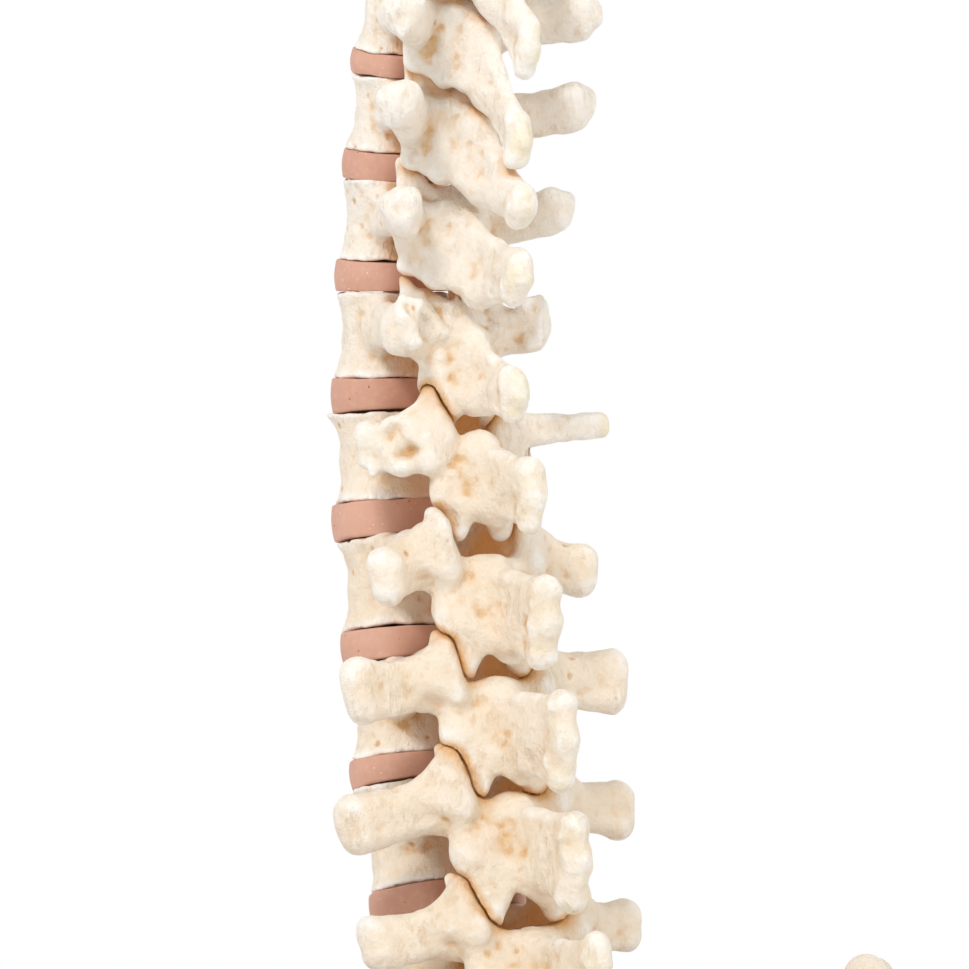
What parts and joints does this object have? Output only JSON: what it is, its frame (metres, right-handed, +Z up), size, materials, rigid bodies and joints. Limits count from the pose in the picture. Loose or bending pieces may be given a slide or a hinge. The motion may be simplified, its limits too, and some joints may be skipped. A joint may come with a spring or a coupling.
{
  "type": "flexible vertebral column with pelvis",
  "caption": "Life-size cast human vertebral column with soft discs on a flexible core, rising from a pelvis, for teaching.",
  "frame": {"origin": "middle of the lower face of the stand spigot under the sacrum", "axes": "+Z up along the standing column, -Y towards the front of the body, +X towards its left side"},
  "size_m": [0.2628, 0.1411, 0.7617],
  "materials": {
    "cast_bone": "satin cast plastic, ivory, stained ochre in the hollows and pores",
    "disc_rubber": "matte terracotta pink-brown rubber",
    "fitting_steel": "satin steel",
    "core_steel": "dark flexible metal hose"
  },
  "bodies": {
    "pelvis": {"sacrum": "cast_bone", "hip_left": "cast_bone", "hip_right": "cast_bone", "coccyx": "cast_bone", "pubic_symphysis": "disc_rubber", "sacroiliac_screw_left": "fitting_steel", "sacroiliac_screw_right": "fitting_steel", "stand_spigot": "fitting_steel", "flexible_core": "core_steel"},
    "disc_L5_S1": {"disc_L5_S1": "disc_rubber"},
    "vertebra_L5": {"vertebra_L5": "cast_bone"},
    "disc_L4_L5": {"disc_L4_L5": "disc_rubber"},
    "vertebra_L4": {"vertebra_L4": "cast_bone"},
    "disc_L3_L4": {"disc_L3_L4": "disc_rubber"},
    "vertebra_L3": {"vertebra_L3": "cast_bone"},
    "disc_L2_L3": {"disc_L2_L3": "disc_rubber"},
    "vertebra_L2": {"vertebra_L2": "cast_bone"},
    "disc_L1_L2": {"disc_L1_L2": "disc_rubber"},
    "vertebra_L1": {"vertebra_L1": "cast_bone"},
    "disc_T12_L1": {"disc_T12_L1": "disc_rubber"},
    "vertebra_T12": {"vertebra_T12": "cast_bone"},
    "disc_T11_T12": {"disc_T11_T12": "disc_rubber"},
    "vertebra_T11": {"vertebra_T11": "cast_bone"},
    "disc_T10_T11": {"disc_T10_T11": "disc_rubber"},
    "vertebra_T10": {"vertebra_T10": "cast_bone"},
    "disc_T9_T10": {"disc_T9_T10": "disc_rubber"},
    "vertebra_T9": {"vertebra_T9": "cast_bone"},
    "disc_T8_T9": {"disc_T8_T9": "disc_rubber"},
    "vertebra_T8": {"vertebra_T8": "cast_bone"},
    "disc_T7_T8": {"disc_T7_T8": "disc_rubber"},
    "vertebra_T7": {"vertebra_T7": "cast_bone"},
    "disc_T6_T7": {"disc_T6_T7": "disc_rubber"},
    "vertebra_T6": {"vertebra_T6": "cast_bone"},
    "disc_T5_T6": {"disc_T5_T6": "disc_rubber"},
    "vertebra_T5": {"vertebra_T5": "cast_bone"},
    "disc_T4_T5": {"disc_T4_T5": "disc_rubber"},
    "vertebra_T4": {"vertebra_T4": "cast_bone"},
    "disc_T3_T4": {"disc_T3_T4": "disc_rubber"},
    "vertebra_T3": {"vertebra_T3": "cast_bone"},
    "disc_T2_T3": {"disc_T2_T3": "disc_rubber"},
    "vertebra_T2": {"vertebra_T2": "cast_bone"},
    "disc_T1_T2": {"disc_T1_T2": "disc_rubber"},
    "vertebra_T1": {"vertebra_T1": "cast_bone"},
    "disc_C7_T1": {"disc_C7_T1": "disc_rubber"},
    "vertebra_C7": {"vertebra_C7": "cast_bone"},
    "disc_C6_C7": {"disc_C6_C7": "disc_rubber"},
    "vertebra_C6": {"vertebra_C6": "cast_bone"},
    "disc_C5_C6": {"disc_C5_C6": "disc_rubber"},
    "vertebra_C5": {"vertebra_C5": "cast_bone"},
    "disc_C4_C5": {"disc_C4_C5": "disc_rubber"},
    "vertebra_C4": {"vertebra_C4": "cast_bone"},
    "disc_C3_C4": {"disc_C3_C4": "disc_rubber"},
    "vertebra_C3": {"vertebra_C3": "cast_bone"},
    "disc_C2_C3": {"disc_C2_C3": "disc_rubber"},
    "vertebra_C2": {"vertebra_C2": "cast_bone", "core_washer": "fitting_steel", "hanging_eye": "fitting_steel"},
    "vertebra_C1": {"vertebra_C1": "cast_bone"}
  },
  "joints": [
    {"name": "lumbar_flexion", "type": "hinge", "parent": "pelvis", "child": "disc_L5_S1", "pos_m": [0, -0.01409, 0.05961], "axis": [1, 0, 0], "range_deg": [-3, 4], "deforming": ["disc_L5_S1", "flexible_core"]},
    {"name": "lumbar_side_bend", "type": "hinge", "parent": "disc_L5_S1", "child": "vertebra_L5", "pos_m": [0, -0.01409, 0.05961], "axis": [0, 0.7604, 0.6494], "range_deg": [-3, 3]},
    {"name": "flexion_L4_L5", "type": "hinge", "parent": "vertebra_L5", "child": "disc_L4_L5", "pos_m": [0, -0.03387, 0.08962], "axis": [1, 0, 0], "range_deg": [-3, 4], "deforming": ["disc_L4_L5"]},
    {"name": "side_bend_L4_L5", "type": "hinge", "parent": "disc_L4_L5", "child": "vertebra_L4", "pos_m": [0, -0.03387, 0.08962], "axis": [0, 0.8788, 0.4772], "range_deg": [-3, 3]},
    {"name": "flexion_L3_L4", "type": "hinge", "parent": "vertebra_L4", "child": "disc_L3_L4", "pos_m": [0, -0.04883, 0.12295], "axis": [1, 0, 0], "range_deg": [-3, 4], "deforming": ["disc_L3_L4"]},
    {"name": "side_bend_L3_L4", "type": "hinge", "parent": "disc_L3_L4", "child": "vertebra_L3", "pos_m": [0, -0.04883, 0.12295], "axis": [0, 0.9367, 0.3502], "range_deg": [-3, 3]},
    {"name": "flexion_L2_L3", "type": "hinge", "parent": "vertebra_L3", "child": "disc_L2_L3", "pos_m": [0, -0.05957, 0.15787], "axis": [1, 0, 0], "range_deg": [-3, 4], "deforming": ["disc_L2_L3"]},
    {"name": "side_bend_L2_L3", "type": "hinge", "parent": "disc_L2_L3", "child": "vertebra_L2", "pos_m": [0, -0.05957, 0.15787], "axis": [0, 0.9703, 0.2419], "range_deg": [-3, 3]},
    {"name": "flexion_L1_L2", "type": "hinge", "parent": "vertebra_L2", "child": "disc_L1_L2", "pos_m": [0, -0.06609, 0.19072], "axis": [1, 0, 0], "range_deg": [-3, 4], "deforming": ["disc_L1_L2"]},
    {"name": "side_bend_L1_L2", "type": "hinge", "parent": "disc_L1_L2", "child": "vertebra_L1", "pos_m": [0, -0.06609, 0.19072], "axis": [0, 0.9848, 0.1736], "range_deg": [-3, 3]},
    {"name": "thoracic_flexion", "type": "hinge", "parent": "vertebra_L1", "child": "disc_T12_L1", "pos_m": [0, -0.07133, 0.22391], "axis": [1, 0, 0], "range_deg": [-1.5, 3], "deforming": ["disc_T12_L1"]},
    {"name": "thoracic_side_bend", "type": "hinge", "parent": "disc_T12_L1", "child": "vertebra_T12", "pos_m": [0, -0.07133, 0.22391], "axis": [0, 0.9903, 0.1392], "range_deg": [-2.5, 2.5]},
    {"name": "flexion_T11_T12", "type": "hinge", "parent": "vertebra_T12", "child": "disc_T11_T12", "pos_m": [0, -0.07523, 0.25722], "axis": [1, 0, 0], "range_deg": [-1.5, 3], "deforming": ["disc_T11_T12"]},
    {"name": "side_bend_T11_T12", "type": "hinge", "parent": "disc_T11_T12", "child": "vertebra_T11", "pos_m": [0, -0.07523, 0.25722], "axis": [0, 0.9981, 0.061], "range_deg": [-2.5, 2.5]},
    {"name": "flexion_T10_T11", "type": "hinge", "parent": "vertebra_T11", "child": "disc_T10_T11", "pos_m": [0, -0.07536, 0.28901], "axis": [1, 0, 0], "range_deg": [-1.5, 3], "deforming": ["disc_T10_T11"]},
    {"name": "side_bend_T10_T11", "type": "hinge", "parent": "disc_T10_T11", "child": "vertebra_T10", "pos_m": [0, -0.07536, 0.28901], "axis": [0, 0.9994, -0.0349], "range_deg": [-2.5, 2.5]},
    {"name": "flexion_T9_T10", "type": "hinge", "parent": "vertebra_T10", "child": "disc_T9_T10", "pos_m": [0, -0.07333, 0.31849], "axis": [1, 0, 0], "range_deg": [-1.5, 3], "deforming": ["disc_T9_T10"]},
    {"name": "side_bend_T9_T10", "type": "hinge", "parent": "disc_T9_T10", "child": "vertebra_T9", "pos_m": [0, -0.07333, 0.31849], "axis": [0, 0.995, -0.1002], "range_deg": [-2.5, 2.5]},
    {"name": "flexion_T8_T9", "type": "hinge", "parent": "vertebra_T9", "child": "disc_T8_T9", "pos_m": [0, -0.06983, 0.34551], "axis": [1, 0, 0], "range_deg": [-1.5, 3], "deforming": ["disc_T8_T9"]},
    {"name": "side_bend_T8_T9", "type": "hinge", "parent": "disc_T8_T9", "child": "vertebra_T8", "pos_m": [0, -0.06983, 0.34551], "axis": [0, 0.989, -0.1478], "range_deg": [-2.5, 2.5]},
    {"name": "flexion_T7_T8", "type": "hinge", "parent": "vertebra_T8", "child": "disc_T7_T8", "pos_m": [0, -0.06566, 0.37067], "axis": [1, 0, 0], "range_deg": [-1.5, 3], "deforming": ["disc_T7_T8"]},
    {"name": "side_bend_T7_T8", "type": "hinge", "parent": "disc_T7_T8", "child": "vertebra_T7", "pos_m": [0, -0.06566, 0.37067], "axis": [0, 0.9856, -0.1693], "range_deg": [-2.5, 2.5]},
    {"name": "flexion_T6_T7", "type": "hinge", "parent": "vertebra_T7", "child": "disc_T6_T7", "pos_m": [0, -0.06146, 0.39481], "axis": [1, 0, 0], "range_deg": [-1.5, 3], "deforming": ["disc_T6_T7"]},
    {"name": "side_bend_T6_T7", "type": "hinge", "parent": "disc_T6_T7", "child": "vertebra_T6", "pos_m": [0, -0.06146, 0.39481], "axis": [0, 0.9877, -0.1564], "range_deg": [-2.5, 2.5]},
    {"name": "flexion_T5_T6", "type": "hinge", "parent": "vertebra_T6", "child": "disc_T5_T6", "pos_m": [0, -0.05817, 0.41833], "axis": [1, 0, 0], "range_deg": [-1.5, 3], "deforming": ["disc_T5_T6"]},
    {"name": "side_bend_T5_T6", "type": "hinge", "parent": "disc_T5_T6", "child": "vertebra_T5", "pos_m": [0, -0.05817, 0.41833], "axis": [0, 0.9936, -0.1132], "range_deg": [-2.5, 2.5]},
    {"name": "flexion_T4_T5", "type": "hinge", "parent": "vertebra_T5", "child": "disc_T4_T5", "pos_m": [0, -0.05619, 0.44124], "axis": [1, 0, 0], "range_deg": [-1.5, 3], "deforming": ["disc_T4_T5"]},
    {"name": "side_bend_T4_T5", "type": "hinge", "parent": "disc_T4_T5", "child": "vertebra_T4", "pos_m": [0, -0.05619, 0.44124], "axis": [0, 0.9986, -0.0523], "range_deg": [-2.5, 2.5]},
    {"name": "flexion_T3_T4", "type": "hinge", "parent": "vertebra_T4", "child": "disc_T3_T4", "pos_m": [0, -0.05581, 0.46348], "axis": [1, 0, 0], "range_deg": [-1.5, 3], "deforming": ["disc_T3_T4"]},
    {"name": "side_bend_T3_T4", "type": "hinge", "parent": "disc_T3_T4", "child": "vertebra_T3", "pos_m": [0, -0.05581, 0.46348], "axis": [0, 0.9997, 0.0262], "range_deg": [-2.5, 2.5]},
    {"name": "flexion_T2_T3", "type": "hinge", "parent": "vertebra_T3", "child": "disc_T2_T3", "pos_m": [0, -0.05731, 0.48492], "axis": [1, 0, 0], "range_deg": [-1.5, 3], "deforming": ["disc_T2_T3"]},
    {"name": "side_bend_T2_T3", "type": "hinge", "parent": "disc_T2_T3", "child": "vertebra_T2", "pos_m": [0, -0.05731, 0.48492], "axis": [0, 0.9936, 0.1132], "range_deg": [-2.5, 2.5]},
    {"name": "flexion_T1_T2", "type": "hinge", "parent": "vertebra_T2", "child": "disc_T1_T2", "pos_m": [0, -0.06062, 0.50591], "axis": [1, 0, 0], "range_deg": [-1.5, 3], "deforming": ["disc_T1_T2"]},
    {"name": "side_bend_T1_T2", "type": "hinge", "parent": "disc_T1_T2", "child": "vertebra_T1", "pos_m": [0, -0.06062, 0.50591], "axis": [0, 0.9816, 0.1908], "range_deg": [-2.5, 2.5]},
    {"name": "cervical_flexion", "type": "hinge", "parent": "vertebra_T1", "child": "disc_C7_T1", "pos_m": [0, -0.06535, 0.52663], "axis": [1, 0, 0], "range_deg": [-3.5, 4], "deforming": ["disc_C7_T1"]},
    {"name": "cervical_side_bend", "type": "hinge", "parent": "disc_C7_T1", "child": "vertebra_C7", "pos_m": [0, -0.06535, 0.52663], "axis": [0, 0.9724, 0.2334], "range_deg": [-4, 4]},
    {"name": "flexion_C6_C7", "type": "hinge", "parent": "vertebra_C7", "child": "disc_C6_C7", "pos_m": [0, -0.06998, 0.54557], "axis": [1, 0, 0], "range_deg": [-3.5, 4], "deforming": ["disc_C6_C7"]},
    {"name": "side_bend_C6_C7", "type": "hinge", "parent": "disc_C6_C7", "child": "vertebra_C6", "pos_m": [0, -0.06998, 0.54557], "axis": [0, 0.9763, 0.2164], "range_deg": [-4, 4]},
    {"name": "flexion_C5_C6", "type": "hinge", "parent": "vertebra_C6", "child": "disc_C5_C6", "pos_m": [0, -0.07339, 0.56324], "axis": [1, 0, 0], "range_deg": [-3.5, 4], "deforming": ["disc_C5_C6"]},
    {"name": "side_bend_C5_C6", "type": "hinge", "parent": "disc_C5_C6", "child": "vertebra_C5", "pos_m": [0, -0.07339, 0.56324], "axis": [0, 0.9877, 0.1564], "range_deg": [-4, 4]},
    {"name": "flexion_C4_C5", "type": "hinge", "parent": "vertebra_C5", "child": "disc_C4_C5", "pos_m": [0, -0.0755, 0.58061], "axis": [1, 0, 0], "range_deg": [-3.5, 4], "deforming": ["disc_C4_C5"]},
    {"name": "side_bend_C4_C5", "type": "hinge", "parent": "disc_C4_C5", "child": "vertebra_C4", "pos_m": [0, -0.0755, 0.58061], "axis": [0, 0.9969, 0.0785], "range_deg": [-4, 4]},
    {"name": "flexion_C3_C4", "type": "hinge", "parent": "vertebra_C4", "child": "disc_C3_C4", "pos_m": [0, -0.07614, 0.59809], "axis": [1, 0, 0], "range_deg": [-3.5, 4], "deforming": ["disc_C3_C4"]},
    {"name": "side_bend_C3_C4", "type": "hinge", "parent": "disc_C3_C4", "child": "vertebra_C3", "pos_m": [0, -0.07614, 0.59809], "axis": [0, 1, 0], "range_deg": [-4, 4]},
    {"name": "flexion_C2_C3", "type": "hinge", "parent": "vertebra_C3", "child": "disc_C2_C3", "pos_m": [0, -0.07556, 0.61533], "axis": [1, 0, 0], "range_deg": [-3.5, 4], "deforming": ["disc_C2_C3"]},
    {"name": "side_bend_C2_C3", "type": "hinge", "parent": "disc_C2_C3", "child": "vertebra_C2", "pos_m": [0, -0.07556, 0.61533], "axis": [0, 0.9981, -0.061], "range_deg": [-4, 4]},
    {"name": "atlas_rotation", "type": "hinge", "parent": "vertebra_C2", "child": "vertebra_C1", "pos_m": [0, -0.07393, 0.64043], "axis": [0, 0.0872, 0.9962], "range_deg": [-20, 20]}
  ],
  "couplings": [
    {"joint": "flexion_L4_L5", "follows": "lumbar_flexion", "ratio": 1},
    {"joint": "side_bend_L4_L5", "follows": "lumbar_side_bend", "ratio": 1},
    {"joint": "flexion_L3_L4", "follows": "lumbar_flexion", "ratio": 1},
    {"joint": "side_bend_L3_L4", "follows": "lumbar_side_bend", "ratio": 1},
    {"joint": "flexion_L2_L3", "follows": "lumbar_flexion", "ratio": 1},
    {"joint": "side_bend_L2_L3", "follows": "lumbar_side_bend", "ratio": 1},
    {"joint": "flexion_L1_L2", "follows": "lumbar_flexion", "ratio": 1},
    {"joint": "side_bend_L1_L2", "follows": "lumbar_side_bend", "ratio": 1},
    {"joint": "flexion_T11_T12", "follows": "thoracic_flexion", "ratio": 1},
    {"joint": "side_bend_T11_T12", "follows": "thoracic_side_bend", "ratio": 1},
    {"joint": "flexion_T10_T11", "follows": "thoracic_flexion", "ratio": 1},
    {"joint": "side_bend_T10_T11", "follows": "thoracic_side_bend", "ratio": 1},
    {"joint": "flexion_T9_T10", "follows": "thoracic_flexion", "ratio": 1},
    {"joint": "side_bend_T9_T10", "follows": "thoracic_side_bend", "ratio": 1},
    {"joint": "flexion_T8_T9", "follows": "thoracic_flexion", "ratio": 1},
    {"joint": "side_bend_T8_T9", "follows": "thoracic_side_bend", "ratio": 1},
    {"joint": "flexion_T7_T8", "follows": "thoracic_flexion", "ratio": 1},
    {"joint": "side_bend_T7_T8", "follows": "thoracic_side_bend", "ratio": 1},
    {"joint": "flexion_T6_T7", "follows": "thoracic_flexion", "ratio": 1},
    {"joint": "side_bend_T6_T7", "follows": "thoracic_side_bend", "ratio": 1},
    {"joint": "flexion_T5_T6", "follows": "thoracic_flexion", "ratio": 1},
    {"joint": "side_bend_T5_T6", "follows": "thoracic_side_bend", "ratio": 1},
    {"joint": "flexion_T4_T5", "follows": "thoracic_flexion", "ratio": 1},
    {"joint": "side_bend_T4_T5", "follows": "thoracic_side_bend", "ratio": 1},
    {"joint": "flexion_T3_T4", "follows": "thoracic_flexion", "ratio": 1},
    {"joint": "side_bend_T3_T4", "follows": "thoracic_side_bend", "ratio": 1},
    {"joint": "flexion_T2_T3", "follows": "thoracic_flexion", "ratio": 1},
    {"joint": "side_bend_T2_T3", "follows": "thoracic_side_bend", "ratio": 1},
    {"joint": "flexion_T1_T2", "follows": "thoracic_flexion", "ratio": 1},
    {"joint": "side_bend_T1_T2", "follows": "thoracic_side_bend", "ratio": 1},
    {"joint": "flexion_C6_C7", "follows": "cervical_flexion", "ratio": 1},
    {"joint": "side_bend_C6_C7", "follows": "cervical_side_bend", "ratio": 1},
    {"joint": "flexion_C5_C6", "follows": "cervical_flexion", "ratio": 1},
    {"joint": "side_bend_C5_C6", "follows": "cervical_side_bend", "ratio": 1},
    {"joint": "flexion_C4_C5", "follows": "cervical_flexion", "ratio": 1},
    {"joint": "side_bend_C4_C5", "follows": "cervical_side_bend", "ratio": 1},
    {"joint": "flexion_C3_C4", "follows": "cervical_flexion", "ratio": 1},
    {"joint": "side_bend_C3_C4", "follows": "cervical_side_bend", "ratio": 1},
    {"joint": "flexion_C2_C3", "follows": "cervical_flexion", "ratio": 1},
    {"joint": "side_bend_C2_C3", "follows": "cervical_side_bend", "ratio": 1}
  ]
}
